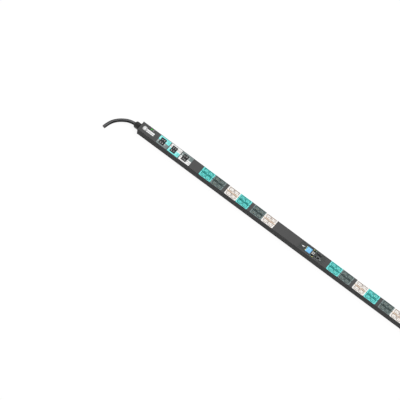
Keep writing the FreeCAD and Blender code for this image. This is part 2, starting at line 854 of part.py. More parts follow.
block = box("block_blank", ("block_length", "block_width", "block_height"),
            (f"{CORD_END} + block_start", "-block_width/2", "gauge"))
wires = []
for up in (-1, 1):
    for side in (-1, 1):
        word = f"{'low' if up < 0 else 'high'}_{'right' if side < 0 else 'left'}"
        wires.append(rod(f"wire_{word}", "wire_radius", "seal_end + block_start + wire_grip - 1",
                         (f"{CORD_END} + block_start + wire_grip", f"{side}*wire_offset",
                          f"gland_height + {up}*wire_offset"), OUTWARD))
terminals = []
for index in range(4):
    terminals.append(rod(f"terminal_{index}", "terminal_radius", "2*terminal_depth",
                         (f"{CORD_END} + block_start + block_length/2", f"{index - 1.5}*bar_pitch",
                          "gauge + block_height - terminal_depth")))
node(less("block", block, wires + terminals), "terminal_block")
node(group("wire_set", wires), "supply_wires")


# ---- controller -------------------------------------------------------------------------------------

TOP = "-panel_sink"


def on_panel(along, across="0"):
    """Where something sits on the controller: along from its start, and across."""
    return f"{PANEL} + {along}", across


def panel_box(name, length, width, low, high, along, across="0"):
    x, y = on_panel(along, across)
    return centred_box(name, length, width, f"{FACE} + ({low})", f"{FACE} + ({high})", x, y)


pad_plate = panel_box("panel_pad", "panel_length", "panel_width", "-gauge", TOP, "panel_length/2")
lip_plate = panel_box("panel_lip_plate", "panel_length + 2*panel_lip", "panel_width + 2*panel_lip",
                      "-gauge - panel_gauge", "-gauge", "panel_length/2")
posts = []
for end in (1, -1):
    for side in (1, -1):
        x, y = on_panel(f"panel_length/2 + {end}*(panel_length/2 - standoff_along)",
                        f"{side}*standoff_across")
        word = f"{'far' if end > 0 else 'near'}_{'left' if side > 0 else 'right'}"
        posts.append(rod(f"panel_post_{word}", "standoff_radius", "board_top - gauge - panel_gauge",
                         (x, y, f"{FACE} - board_top")))
UNDER = "-gauge - panel_gauge - 1"
panel_holes = [
    panel_box("window_hole", "window_length", "window_width", UNDER, "1", "window_along"),
    panel_box("usb_hole", "usb_length", "usb_width", UNDER, "1", "usb_along", "usb_across"),
    panel_box("sensor_hole", "sensor_length", "sensor_width", UNDER, "1",
              "sensor_along", "sensor_across"),
    panel_box("expansion_hole", "expansion_length", "expansion_width", UNDER, "1",
              "expansion_along", "expansion_across"),
]
for side in (1, -1):
    panel_holes.append(panel_box(f"jack_hole_{'left' if side > 0 else 'right'}", "jack_length",
                                 "jack_width", UNDER, "1", "jack_along", f"{side}*jack_across"))
KEYS = {"key_up": (-1, 1), "key_down": (-1, -1), "key_back": (1, 1), "key_select": (1, -1)}
for word, (column, side) in KEYS.items():
    panel_holes.append(panel_box(f"{word}_hole", "key_length + 2*key_clearance",
                                 "key_width + 2*key_clearance", UNDER, "1",
                                 f"key_along + {column}*key_pitch/2",
                                 f"{side}*key_pitch_across/2"))
reset_x, reset_y = on_panel("reset_along", "reset_across")
panel_holes.append(rod("reset_hole", "reset_radius + key_clearance", "4*gauge",
                       (reset_x, reset_y, f"{FACE} - 3*gauge")))
panel_blank = joined("panel_blank", [pad_plate, lip_plate] + posts)
node(less("panel", panel_blank, panel_holes), "controller_bezel")

node(panel_box("window_pane", "window_length", "window_width", f"{TOP} - window_gauge", TOP,
               "window_along"), "display_window")

module_top = "-gauge - panel_gauge - module_gap"
module_parts = [panel_box("module_block", "module_length", "module_width",
                          f"{module_top} - module_gauge", module_top, "window_along")]
for end in (1, -1):
    for side in (1, -1):
        x, y = on_panel(f"window_along + {end}*(module_length/2 - module_leg_inset)",
                        f"{side}*(module_width/2 - module_leg_inset)")
        word = f"{'far' if end > 0 else 'near'}_{'left' if side > 0 else 'right'}"
        module_parts.append(rod(f"module_leg_{word}", "module_leg_radius",
                                f"board_top + {module_top} - module_gauge/2",
                                (x, y, f"{FACE} - board_top")))
node(joined("module", module_parts), "display_module")

board_parts = [panel_box("board_plate", "board_length", "panel_width", "-board_top - board_gauge",
                         "-board_top", "panel_length/2")]
for word, (column, side) in KEYS.items():
    board_parts.append(panel_box(f"{word}_switch", "switch_size", "switch_size", "-board_top",
                                 "-switch_top", f"key_along + {column}*key_pitch/2",
                                 f"{side}*key_pitch_across/2"))
board_parts.append(panel_box("reset_switch", "switch_size", "switch_size", "-board_top",
                             "-switch_top", "reset_along", "reset_across"))
node(joined("board", board_parts), "control_board")

for word, (column, side) in KEYS.items():
    along = f"key_along + {column}*key_pitch/2"
    across = f"{side}*key_pitch_across/2"
    cap = panel_box(f"{word}_cap", "key_length", "key_width", "-key_bottom", f"{TOP} + key_proud",
                    along, across)
    skirt = panel_box(f"{word}_skirt", "key_length + 2*key_skirt", "key_width + 2*key_skirt",
                      "-key_bottom", "-key_skirt_top", along, across)
    node(joined(f"{word}_solid", [cap, skirt]), word)

reset_stem = rod("reset_stem", "reset_radius", "key_bottom - panel_sink + reset_proud",
                 (reset_x, reset_y, f"{FACE} - key_bottom"))
reset_collar = rod("reset_collar", "reset_radius + reset_flange", "key_bottom - key_skirt_top",
                   (reset_x, reset_y, f"{FACE} - key_bottom"))
node(joined("reset_solid", [reset_stem, reset_collar]), "reset_button")

lamp_blanks = []
jack_count = 0
for side in (1, -1):
    jack_count += 1
    across = f"{side}*jack_across"
    shell = panel_box(f"jack_shell_{jack_count}", "jack_length", "jack_width", "-board_top", TOP,
                      "jack_along", across)
    mouth = panel_box(f"jack_mouth_{jack_count}", "jack_mouth_length", "jack_mouth_width",
                      f"{TOP} - jack_mouth_depth", "1", "jack_along",
                      f"{across} - {side}*jack_mouth_shift")
    jack_lamps = []
    for end in (1, -1):
        jack_lamps.append(panel_box(f"jack_lamp_{jack_count}_{'far' if end > 0 else 'near'}",
                                    "jack_lamp_length", "jack_lamp_width",
                                    f"{TOP} - jack_lamp_gauge", f"{TOP} + 0.2",
                                    f"jack_along + {end}*jack_lamp_along",
                                    f"{across} + {side}*jack_lamp_shift"))
    lamp_blanks += jack_lamps
    node(less(f"jack_{jack_count}", shell, [mouth] + jack_lamps), f"ethernet_jack_{jack_count}")
node(group("jack_lamp_set", lamp_blanks), "jack_lamps")

usb_shell = panel_box("usb_shell", "usb_length", "usb_width", "-board_top", TOP,
                      "usb_along", "usb_across")
usb_mouths = []
for end in (1, -1):
    usb_mouths.append(panel_box(f"usb_mouth_{'far' if end > 0 else 'near'}", "usb_mouth_length",
                                "usb_mouth_width", f"{TOP} - usb_mouth_depth", "1",
                                f"usb_along + {end}*usb_pitch/2", "usb_across"))
node(less("usb", usb_shell, usb_mouths), "usb_port")
for word in ("sensor", "expansion"):
    shell = panel_box(f"{word}_shell", f"{word}_length", f"{word}_width", "-board_top", TOP,
                      f"{word}_along", f"{word}_across")
    mouth = panel_box(f"{word}_mouth", f"{word}_mouth_length", f"{word}_mouth_width",
                      f"{TOP} - port_mouth_depth", "1", f"{word}_along", f"{word}_across")
    node(less(f"{word}_socket", shell, [mouth]), f"{word}_port")


# ---- checks and output -----------------------------------------------------------------------------

sheet.clear("D1")
doc.recompute()
for thing in doc.Objects:
    if "Invalid" in thing.State or "Error" in thing.State:
        raise RuntimeError(f"{thing.Name} did not recompute: {thing.State}")
labels = [thing.Label for thing in nodes]
if len(set(labels)) != len(labels):
    raise RuntimeError("two pieces share a name")
os.makedirs("parts", exist_ok=True)
for thing in nodes:
    if thing.Shape.isNull() or not thing.Shape.isValid() or not thing.Shape.Solids:
        raise RuntimeError(f"{thing.Label} has no valid solid")
    thing.Shape.exportStep(f"parts/{thing.Label}.step")
print(len(nodes), "pieces")
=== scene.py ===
import json
import math

import bmesh
import bpy
from mathutils import Matrix, Vector


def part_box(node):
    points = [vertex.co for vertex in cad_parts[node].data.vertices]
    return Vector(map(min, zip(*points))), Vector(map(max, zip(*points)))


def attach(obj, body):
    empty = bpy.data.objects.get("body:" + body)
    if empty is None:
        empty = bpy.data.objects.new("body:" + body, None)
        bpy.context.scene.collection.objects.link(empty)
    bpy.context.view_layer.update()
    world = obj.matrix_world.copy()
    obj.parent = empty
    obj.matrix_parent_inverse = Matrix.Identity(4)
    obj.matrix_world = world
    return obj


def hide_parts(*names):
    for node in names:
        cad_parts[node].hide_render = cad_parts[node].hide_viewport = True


# A vertical rack power strip lying on its back: +X from the cord end to the far end, +Z the way
# the outlets face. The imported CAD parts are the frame. This script gives them their finish, and
# adds the print, the screen, the contacts, the lamp caps, the floor and the supply cord.

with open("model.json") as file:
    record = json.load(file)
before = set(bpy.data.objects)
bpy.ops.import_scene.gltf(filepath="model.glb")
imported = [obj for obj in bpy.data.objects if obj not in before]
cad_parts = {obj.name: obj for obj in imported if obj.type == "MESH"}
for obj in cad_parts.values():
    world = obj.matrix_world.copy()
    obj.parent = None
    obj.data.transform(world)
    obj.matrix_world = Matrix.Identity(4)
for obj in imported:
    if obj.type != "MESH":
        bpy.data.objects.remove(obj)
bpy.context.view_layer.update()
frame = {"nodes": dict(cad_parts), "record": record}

MM = 0.001
NODES = frame["nodes"]
JOINTS = {joint["child"]: joint for joint in frame["record"]["behaviour"]["joints"]}
CORD_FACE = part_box("cord_end_cap")[0].x
FACE_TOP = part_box("controller_face_plate")[1].z
BANK_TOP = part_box("outlet_bank_01")[1].z
ROOT = "chassis"

BANKS = range(1, 13)
ROCKERS = range(1, 7)
BREAKERS = range(1, 4)
# Each key, and where it lies from the middle of the four: along the strip, then across it.
KEYS = (("key_up", -1, 1), ("key_down", -1, -1), ("key_back", 1, 1), ("key_select", 1, -1))
# Half the distance between the middles of the double port's two openings.
PORT_OFFSET = 7.5

# How bright a white matt surface that faces up is, where 1 is the screen's white.
LIGHT = 1.8


# ---- camera and light ----------------------------------------------------------------------------

# In degrees: round the strip, above the floor, and the turn about the line of sight.
VIEW_ANGLES = (30.34, 66.28, 8.47)
VIEW_CENTRE = (-0.4139, -0.1272, 0.0315)
VIEW_DISTANCE = 21.0
VIEW_LENS = 360.2

# The surround's strength low down and overhead, and the heights between which it changes.
SURROUND_LOW, SURROUND_OVERHEAD = 0.9, 0.2
SURROUND_CHANGE = (0.07, 0.2)
SUN_FROM = (0.40, 0.14, 0.905)
SUN_STRENGTH = 5.2
SUN_WIDTH_DEGREES = 40


def make_camera():
    """A long lens over the strip, on its right-hand side, turned a little in the hand."""
    azimuth, elevation, roll = (math.radians(angle) for angle in VIEW_ANGLES)
    back = Vector((math.sin(azimuth) * math.cos(elevation),
                   -math.cos(azimuth) * math.cos(elevation),
                   math.sin(elevation)))
    level = Vector((math.cos(azimuth), math.sin(azimuth), 0.0))
    upright = back.cross(level)
    right = math.cos(roll) * level + math.sin(roll) * upright
    up = back.cross(right)
    data = bpy.data.cameras.new("camera")
    data.lens = VIEW_LENS
    data.sensor_width = 36.0
    data.clip_end = 100.0
    camera = bpy.data.objects.new("camera", data)
    spot = Vector(VIEW_CENTRE) + back * VIEW_DISTANCE
    camera.matrix_world = Matrix.Translation(spot) @ Matrix((right, up, back)).transposed().to_4x4()
    bpy.context.collection.objects.link(camera)
    bpy.context.scene.camera = camera


def make_lights():
    """A broad light from above and a surround that is white low down and dim overhead."""
    scene = bpy.context.scene
    scene.view_settings.view_transform = "Standard"
    world = bpy.data.worlds.new("surround")
    world.use_nodes = True
    tree = world.node_tree
    height = split(tree, tree.nodes.new("ShaderNodeTexCoord").outputs["Generated"])["Z"]
    strength = spread(tree, height, SURROUND_LOW, SURROUND_OVERHEAD, SURROUND_CHANGE)
    tree.links.new(strength, tree.nodes["Background"].inputs["Strength"])
    tree.nodes["Background"].inputs["Color"].default_value = (1, 1, 1, 1)
    scene.world = world
    data = bpy.data.lights.new("overhead", "SUN")
    data.energy = SUN_STRENGTH
    data.angle = math.radians(SUN_WIDTH_DEGREES)
    sun = bpy.data.objects.new("overhead", data)
    sun.rotation_euler = Vector(SUN_FROM).to_track_quat("Z", "Y").to_euler()
    bpy.context.collection.objects.link(sun)


# ---- materials -----------------------------------------------------------------------------------

# Where a colour Mix node keeps its factor, its two colours and its result.
MIX_FACTOR, MIX_FIRST, MIX_SECOND, MIX_RESULT = 0, 6, 7, 2
# The size in millimetres of the slow changes of tone in plastic.
PLASTIC_CLOUD = 22.0
# The outlet blocks' levels below their top, in millimetres: tongues lie above the first and the
# face above the second. Below each level the tone is darker, as painted shade in the recesses.
# The blend between two levels is 0.3 mm high.
TONGUE_LEVEL, FACE_LEVEL, LEVEL_BLEND = 1.5, 0.5, 0.3
# The dark band of painted shade along an outlet block's middle rib ends between these distances
# from its middle line.
RIB_SHADE_EDGE = (2.5, 2.8)


def linear(red, green, blue):
    """A colour as it should look on the screen, as the base colour that gives it in this light."""
    def channel(value):
        value /= 255
        return value / 12.92 if value <= 0.04045 else ((value + 0.055) / 1.055) ** 2.4
    return tuple(min(channel(v) / LIGHT, 0.95) for v in (red, green, blue)) + (1.0,)


def new_material(name):
    """A new material, its node tree and its Principled shader."""
    made = bpy.data.materials.new(name)
    made.use_nodes = True
    return made, made.node_tree, made.node_tree.nodes["Principled BSDF"]


def add(tree, kind, **values):
    """A node with its inputs set by name."""
    made = tree.nodes.new(kind)
    for key, value in values.items():
        made.inputs[key.replace("_", " ")].default_value = value
    return made


def place_of(tree):
    """Object coordinates, in metres."""
    return tree.nodes.new("ShaderNodeTexCoord").outputs["Object"]


def split(tree, vector):
    """The three axes of a vector, by letter."""
    made = tree.nodes.new("ShaderNodeSeparateXYZ")
    tree.links.new(vector, made.inputs["Vector"])
    return made.outputs


def noise(tree, coordinates, size, detail=2.0, rough=0.5):
    """Noise whose features are about size millimetres across."""
    made = add(tree, "ShaderNodeTexNoise", Scale=1.0 / (size * MM), Detail=detail, Roughness=rough)
    tree.links.new(coordinates, made.inputs["Vector"])
    return made.outputs["Fac"]


def spread(tree, value, low, high, source=(0.3, 0.7)):
    """Maps a value's source range onto low to high; the default source suits noise."""
    made = tree.nodes.new("ShaderNodeMapRange")
    for key, number in zip(("From Min", "From Max", "To Min", "To Max"), (*source, low, high)):
        made.inputs[key].default_value = number
    tree.links.new(value, made.inputs["Value"])
    return made.outputs["Result"]


def cloud(tree, coordinates, size, detail=3.0):
    """Slow changes from 0 to 1, about size millimetres across."""
    return spread(tree, noise(tree, coordinates, size, detail), 0.0, 1.0)


def mix(tree, factor, first, second):
    """The first colour where the factor is 0 and the second where it is 1."""
    made = tree.nodes.new("ShaderNodeMix")
    made.data_type = "RGBA"
    tree.links.new(factor, made.inputs[MIX_FACTOR])
    for socket, colour in ((MIX_FIRST, first), (MIX_SECOND, second)):
        if isinstance(colour, tuple):
            made.inputs[socket].default_value = colour
        else:
            tree.links.new(colour, made.inputs[socket])
    return made.outputs[MIX_RESULT]


def shade(tree, colour, amount, factor):
    """A colour that wanders a little lighter and darker."""
    dark = tuple(c * (1 - amount) for c in colour[:3]) + (1.0,)
    light = tuple(min(c * (1 + amount), 1.0) for c in colour[:3]) + (1.0,)
    return mix(tree, factor, dark, light)


def relief(tree, shader, height, depth, roughness):
    """Roughness over a range, and bump of about depth millimetres, both from one noise."""
    tree.links.new(spread(tree, height, *roughness), shader.inputs["Roughness"])
    bump = add(tree, "ShaderNodeBump", Strength=1.0, Distance=depth * MM)
    tree.links.new(height, bump.inputs["Height"])
    tree.links.new(bump.outputs["Normal"], shader.inputs["Normal"])


def moulded(name, colour, roughness=0.45, grain=0.5, depth=0.012, mottle=0.04, specular=0.5):
    """Moulded plastic or rubber: a fine spark-eroded grain over slow changes of tone."""
    made, tree, shader = new_material(name)
    where = place_of(tree)
    tone = shade(tree, colour, mottle, cloud(tree, where, PLASTIC_CLOUD))
    tree.links.new(tone, shader.inputs["Base Color"])
    shader.inputs["Specular IOR Level"].default_value = specular
    fine = noise(tree, where, grain, 2.0, 0.6)
    relief(tree, shader, fine, depth, (roughness - 0.05, roughness + 0.06))
    return made


def cord_jacket(name, below, above):
    """A cord's rubber jacket: dark, with a painted highlight on the side that faces up."""
    made, tree, shader = new_material(name)
    where = place_of(tree)
    upward = split(tree, tree.nodes.new("ShaderNodeNewGeometry").outputs["Normal"])["Z"]
    slow = cloud(tree, where, 9.0, 4.0)
    # Painted highlight: surfaces that face up blend to the paler colour.
    tone = mix(tree, spread(tree, upward, 0.0, 1.0, (0.76, 0.98)),
               shade(tree, below, 0.08, slow), shade(tree, above, 0.10, slow))
    tree.links.new(tone, shader.inputs["Base Color"])
    shader.inputs["Specular IOR Level"].default_value = 0.12
    relief(tree, shader, noise(tree, where, 0.4, 2.0, 0.6), 0.012, (0.40, 0.52))
    return made


def outlet_plastic(name, face, tongue, moat_painted_shade, middle):
    """Outlet block plastic: its face, with painted shade on the tongues, moats and middle rib."""
    made, tree, shader = new_material(name)
    where = place_of(tree)
    axes = split(tree, where)
    slow = cloud(tree, where, PLASTIC_CLOUD)
    tone = shade(tree, moat_painted_shade, 0.05, slow)
    # Painted shade: below each level the colour falls to the darker tone of the deeper part.
    for colour, below in ((tongue, TONGUE_LEVEL), (face, FACE_LEVEL)):
        level = BANK_TOP - below * MM
        above = spread(tree, axes["Z"], 0.0, 1.0, (level - LEVEL_BLEND * MM, level))
        tone = mix(tree, above, tone, shade(tree, colour, 0.03, slow))
    # Painted shade: a darker band along the block's middle rib.
    across = tree.nodes.new("ShaderNodeMath")
    across.operation = "ABSOLUTE"
    tree.links.new(axes["Y"], across.inputs[0])
    beside = spread(tree, across.outputs["Value"], 0.0, 1.0, tuple(y * MM for y in RIB_SHADE_EDGE))
    tone = mix(tree, beside, shade(tree, middle, 0.04, slow), tone)
    tree.links.new(tone, shader.inputs["Base Color"])
    shader.inputs["Specular IOR Level"].default_value = 0.4
    relief(tree, shader, noise(tree, where, 0.5, 2.0, 0.6), 0.012, (0.35, 0.46))
    return made


def powder_coat(name, colour):
    """Baked powder paint: orange-peel relief with a finer sparkle of roughness."""
    made, tree, shader = new_material(name)
    where = place_of(tree)
    tone = shade(tree, colour, 0.03, cloud(tree, where, 60.0))
    tree.links.new(tone, shader.inputs["Base Color"])
    shader.inputs["Specular IOR Level"].default_value = 0.07
    relief(tree, shader, noise(tree, where, 1.3, 3.0, 0.65), 0.03, (0.52, 0.66))
    return made


def metal(name, colour, roughness=0.3):
    """Plated or bare metal with drawn lines along X."""
    made, tree, shader = new_material(name)
    mapping = tree.nodes.new("ShaderNodeMapping")
    mapping.inputs["Scale"].default_value = (1.0, 12.0, 12.0)
    tree.links.new(place_of(tree), mapping.inputs["Vector"])
    lines = noise(tree, mapping.outputs["Vector"], 3.0, 4.0)
    tone = shade(tree, colour, 0.12, spread(tree, lines, 0.0, 1.0))
    tree.links.new(tone, shader.inputs["Base Color"])
    shader.inputs["Metallic"].default_value = 1.0
    relief(tree, shader, lines, 0.01, (roughness - 0.08, roughness + 0.1))
    return made


def two_tone(name, upper, lower):
    """A printed label, one colour each side of the strip's middle line, under a satin film."""
    made, tree, shader = new_material(name)
    where = place_of(tree)
    side = tree.nodes.new("ShaderNodeMath")
    side.operation = "GREATER_THAN"
    side.inputs[1].default_value = 0.0
    tree.links.new(split(tree, where)["Y"], side.inputs[0])
    slow = cloud(tree, where, 18.0)
    tone = mix(tree, side.outputs["Value"],
               shade(tree, lower, 0.03, slow), shade(tree, upper, 0.03, slow))
    tree.links.new(tone, shader.inputs["Base Color"])
    relief(tree, shader, noise(tree, where, 0.8), 0.006, (0.34, 0.44))
    return made


def lens(name, colour, glow):
    """A lit lamp's lens: a coloured body that glows, a little unevenly, under a thin coat."""
    made, tree, shader = new_material(name)
    swirl = cloud(tree, place_of(tree), 2.0, 2.0)
    tint = shade(tree, colour, 0.12, swirl)
    tree.links.new(tint, shader.inputs["Base Color"])
    tree.links.new(tint, shader.inputs["Emission Color"])
    shader.inputs["Emission Strength"].default_value = glow
    tree.links.new(spread(tree, swirl, 0.12, 0.2), shader.inputs["Roughness"])
    shader.inputs["Specular IOR Level"].default_value = 0.25
    shader.inputs["Coat Weight"].default_value = 0.2
    return made


def screen(name, colour):
    """Part of the display's lit picture: its own light, with a faint row structure."""
    made, tree, shader = new_material(name)
    wave = add(tree, "ShaderNodeTexWave", Scale=2600.0, Distortion=0.0)
    tree.links.new(place_of(tree), wave.inputs["Vector"])
    field = spread(tree, wave.outputs["Fac"], 0.35, 0.65, (0.0, 1.0))
    tree.links.new(shade(tree, colour, 0.06, field), shader.inputs["Emission Color"])
    shader.inputs["Emission Strength"].default_value = LIGHT
    shader.inputs["Base Color"].default_value = (0.01, 0.02, 0.03, 1.0)
    tree.links.new(spread(tree, field, 0.2, 0.3), shader.inputs["Roughness"])
    return made


def clear_pane(name):
    """A thin clear window with faint polish marks."""
    made, tree, shader = new_material(name)
    polish = noise(tree, place_of(tree), 6.0, 4.0)
    tree.links.new(spread(tree, polish, 0.03, 0.09), shader.inputs["Roughness"])
    shader.inputs["Base Color"].default_value = (0.96, 0.98, 1.0, 1.0)
    shader.inputs["Transmission Weight"].default_value = 1.0
    shader.inputs["IOR"].default_value = 1.2
    return made


def ink(name, colour):
    """Screen print: matt, thin and even."""
    return moulded(name, colour, 0.5, grain=0.3, depth=0.004, mottle=0.02)


def wire(name, colour):
    """The smooth sleeve of one of the cord's conductors."""
    return moulded(name, colour, 0.35, grain=0.3, mottle=0.05)


LABEL_CYAN = linear(134, 246, 241)
LABEL_GREY = linear(127, 142, 141)
LABEL_WHITE = linear(250, 250, 248)
MAT = {
    "paint": powder_coat("grey_powder_coat", linear(87, 87, 87)),
    # The sides get a darker copy of the face paint, as painted shade.
    "shaded side paint": powder_coat("side_powder_coat_painted_shade", linear(76, 76, 76)),
    # Each outlet plastic's last three colours are painted shade: tongue, moat and middle band.
    "cyan": outlet_plastic("cyan_plastic", linear(112, 232, 227), linear(96, 220, 214),
                           linear(0, 178, 168), linear(30, 168, 160)),
    "grey": outlet_plastic("grey_plastic", linear(120, 136, 135), linear(108, 124, 122),
                           linear(58, 82, 80), linear(60, 78, 76)),
    "white": outlet_plastic("cream_plastic", linear(255, 252, 248), linear(255, 250, 244),
                            linear(255, 208, 168), linear(246, 222, 198)),
    "black": moulded("black_plastic", linear(46, 46, 47), 0.42, mottle=0.08),
    "rocker": moulded("rocker_plastic", linear(66, 66, 67), 0.3, grain=0.3, mottle=0.06),
    "bezel": moulded("bezel_plastic", linear(72, 75, 74), 0.5, grain=0.4, specular=0.15),
    "nylon": moulded("gland_nylon", linear(50, 50, 50), 0.42, grain=0.7, depth=0.03, mottle=0.12,
                     specular=0.3),
    "key cap": moulded("key_cap_plastic", linear(60, 61, 62), 0.4, grain=0.4),
    "key": moulded("key_plastic", linear(236, 235, 231), 0.35, grain=0.4),
    # The jacket's pale second colour is a painted highlight on the side that faces up.
    "jacket": cord_jacket("cord_jacket", linear(22, 22, 23), linear(100, 100, 101)),
    "seal": moulded("seal_rubber", linear(28, 28, 28), 0.68, grain=0.35, depth=0.02, mottle=0.1,
                    specular=0.35),
    "screw": metal("black_zinc", linear(92, 92, 94), 0.38),
    "shell": metal("socket_shell", linear(62, 62, 64), 0.4),
    "steel": metal("plated_steel", linear(170, 170, 172), 0.28),
    "brass": metal("plated_brass", linear(214, 176, 98), 0.25),
    "gold": metal("gold_contact", linear(240, 200, 110), 0.2),
    "copper": metal("bare_copper", linear(214, 130, 86), 0.28),
    "board": moulded("green_board", linear(30, 96, 58), 0.3, grain=1.5, depth=0.02),
    "insulator": moulded("inner_plastic", linear(84, 84, 86), 0.5),
    "print": ink("white_print", linear(250, 250, 250)),
    "pale": ink("pale_print", linear(150, 155, 155)),
    "dark": ink("dark_print", linear(70, 74, 76)),
    "green lamp": lens("green_lens", linear(14, 182, 4), 0.4),
    "white lamp": lens("white_lens", linear(196, 196, 192), 0.1),
    "green led": lens("green_led", linear(165, 215, 165), 1.4),
    "yellow led": lens("yellow_led", linear(240, 235, 120), 2.2),
    "screen": screen("lit_screen", linear(124, 200, 246)),
    "screen light": screen("screen_light", linear(160, 218, 248)),
    "pane": clear_pane("display_pane"),
    "label 1": two_tone("label_cyan_over_grey", LABEL_CYAN, LABEL_GREY),
    "label 2": two_tone("label_white_over_cyan", LABEL_WHITE, LABEL_CYAN),
    "label 3": two_tone("label_grey_over_white", LABEL_GREY, LABEL_WHITE),
    "wire black": wire("wire_black", linear(36, 36, 38)),
    "wire red": wire("wire_red", linear(176, 44, 38)),
    "wire blue": wire("wire_blue", linear(44, 74, 160)),
    "wire green": wire("wire_green", linear(58, 140, 66)),
}


def finish_of_nodes():
    """The material name of each CAD node."""
    names = {
        "paint": ["cord_face_plate", "controller_face_plate", "far_face_plate"],
        # Painted shade: the walls, rails, back and end caps take the darker copy of the paint.
        "shaded side paint": ["back_plate", "left_rail", "right_rail", "left_wall", "right_wall",
                       "cord_end_cap", "far_end_cap"],
        "screw": ["end_cap_screws", "seam_screws", "ground_screw"],
        "shell": ["usb_port"],
        "steel": ["mounting_inserts"],
        "nylon": ["gland_body", "gland_nut", "gland_locknut"],
        "seal": ["gland_seal"],
        "green lamp": ["power_lamp_green"],
        "white lamp": ["power_lamp_white"],
        "brass": ["outlet_contacts"],
        "copper": ["line_bars", "ground_bar"],
        "insulator": ["bar_supports", "terminal_block", "display_module", "supply_wires"],
        "bezel": ["controller_bezel"],
        "pane": ["display_window"],
        "board": ["control_board"],
        "black": ["ethernet_jack_1", "ethernet_jack_2", "sensor_port", "expansion_port"],
        "pale": ["reset_button"],
        "key cap": [node for node, _, _ in KEYS],
        "green led": ["jack_lamps"],
        "rocker": [f"breaker_rocker_{number}" for number in ROCKERS],
    }
    for number in BREAKERS:
        names[f"label {number}"] = [f"breaker_label_{number}"]
        names["black"].append(f"breaker_case_{number}")
    order = ("cyan", "grey", "white")
    for number in BANKS:
        names.setdefault(order[(number - 1) % 3], []).append(f"outlet_bank_{number:02d}")
    return {node: mat for mat, nodes in names.items() for node in nodes}


def dress(node, mat):
    """Gives a CAD node one material."""
    data = NODES[node].data
    data.materials.clear()
    data.materials.append(MAT[mat])


def soften(node, width):
    """Breaks a CAD node's sharp edges, without touching its mesh."""
    piece = NODES[node]
    weld = piece.modifiers.new("weld", "WELD")
    weld.merge_threshold = 0.01 * MM
    bevel = piece.modifiers.new("edges", "BEVEL")
    bevel.width = width * MM
    bevel.segments = 2
    bevel.limit_method = "ANGLE"
    bevel.angle_limit = math.radians(35)
    bevel.use_clamp_overlap = True


def soften_nodes():
    """Breaks the edges of the moulded parts, by widths in millimetres."""
    for number in BANKS:
        soften(f"outlet_bank_{number:02d}", 0.35)
    for number in ROCKERS:
        soften(f"breaker_rocker_{number}", 0.5)
    for number in BREAKERS:
        soften(f"breaker_case_{number}", 0.35)
    for node in (*(key for key, _, _ in KEYS), "gland_nut", "gland_body"):
        soften(node, 0.5)


# ---- making pieces -------------------------------------------------------------------------------

def piece_from(name, bm, mat, body=ROOT, edges=0.0):
    """A mesh piece that rides on a body."""
    bmesh.ops.recalc_face_normals(bm, faces=bm.faces)
    mesh = bpy.data.meshes.new(name)
    bm.to_mesh(mesh)
    bm.free()
    made = bpy.data.objects.new(name, mesh)
    bpy.context.collection.objects.link(made)
    mesh.materials.append(MAT[mat])
    if edges:
        bevel = made.modifiers.new("edges", "BEVEL")
        bevel.width = edges * MM
        bevel.segments = 2
        bevel.limit_method = "ANGLE"
    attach(made, body)
    return made


def ring_of(bm, outline, height, place):
    """New corners along an outline in millimetres, at one height."""
    return [bm.verts.new(place @ Vector((x * MM, y * MM, height * MM))) for x, y in outline]


def prism(bm, outline, low, high, place=Matrix()):
    """A flat-sided solid from an outline in millimetres, raised from low to high."""
    rings = [ring_of(bm, outline, height, place) for height in (low, high)]
    bm.faces.new(rings[0][::-1])
    bm.faces.new(rings[1])
    count = len(outline)
    for i in range(count):
        after = (i + 1) % count
        bm.faces.new((rings[0][i], rings[0][after], rings[1][after], rings[1][i]))


def band(bm, outer, inner, low, high, place=Matrix()):
    """A flat ring between two outlines with the same number of corners."""
    corners = ((outer, low), (outer, high), (inner, high), (inner, low))
    loops = [ring_of(bm, outline, height, place) for outline, height in corners]
    count = len(outer)
    for a, b in zip(loops, loops[1:] + loops[:1]):
        for i in range(count):
            after = (i + 1) % count
            bm.faces.new((a[i], a[after], b[after], b[i]))


def rounded(width, height, radius, x=0.0, y=0.0, steps=5):
    """A rectangle with round corners, in millimetres about a point."""
    points = []
    for cx, cy, start in ((1, 1, 0), (-1, 1, 90), (-1, -1, 180), (1, -1, 270)):
        for step in range(steps + 1):
            angle = math.radians(start + 90 * step / steps)
            points.append((x + cx * (width / 2 - radius) + radius * math.cos(angle),
                           y + cy * (height / 2 - radius) + radius * math.sin(angle)))
    return points


def circle(radius, x=0.0, y=0.0, steps=28):
    """A circle in millimetres about a point."""
    return [(x + radius * math.cos(2 * math.pi * i / steps),
             y + radius * math.sin(2 * math.pi * i / steps)) for i in range(steps)]


def at(x, y, z):
    """A place in metres, as a matrix."""
    return Matrix.Translation((x, y, z))


def middle_of(node):
    """The middle of a node's box and the height of its top, in metres."""
    low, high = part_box(node)
    return (low + high) / 2, high.z


# ---- the supply cord -----------------------------------------------------------------------------

CORD_RADIUS = 9.5
# Distance beyond the cord end cap, distance across and height, in millimetres.
CORD_ROUTE = [
    (30.0, 0.0, 31.5),
    (63.5, -3.4, 31.2),
    (101.5, -24.0, 27.0),
    (131.3, -48.0, 19.0),
    (151.0, -79.3, 12.2),
    (158.1, -111.7, 9.5),
]

# The cut end, in millimetres: how far the conductors lie from the cord's middle line, their
# sleeves' radii, the strands' radius and distance from the middle one, and how deep all of it
# starts and how far the sleeves and strands stand out.
CONDUCTOR_OFFSET = 3.8
SLEEVE_OUTER, SLEEVE_INNER = 2.5, 1.5
STRAND_RADIUS, STRAND_OFFSET = 0.47, 0.98
CUT_DEPTH, SLEEVE_REACH, STRAND_REACH = -2.0, 1.2, 1.5
JACKET_INNER = 7.4


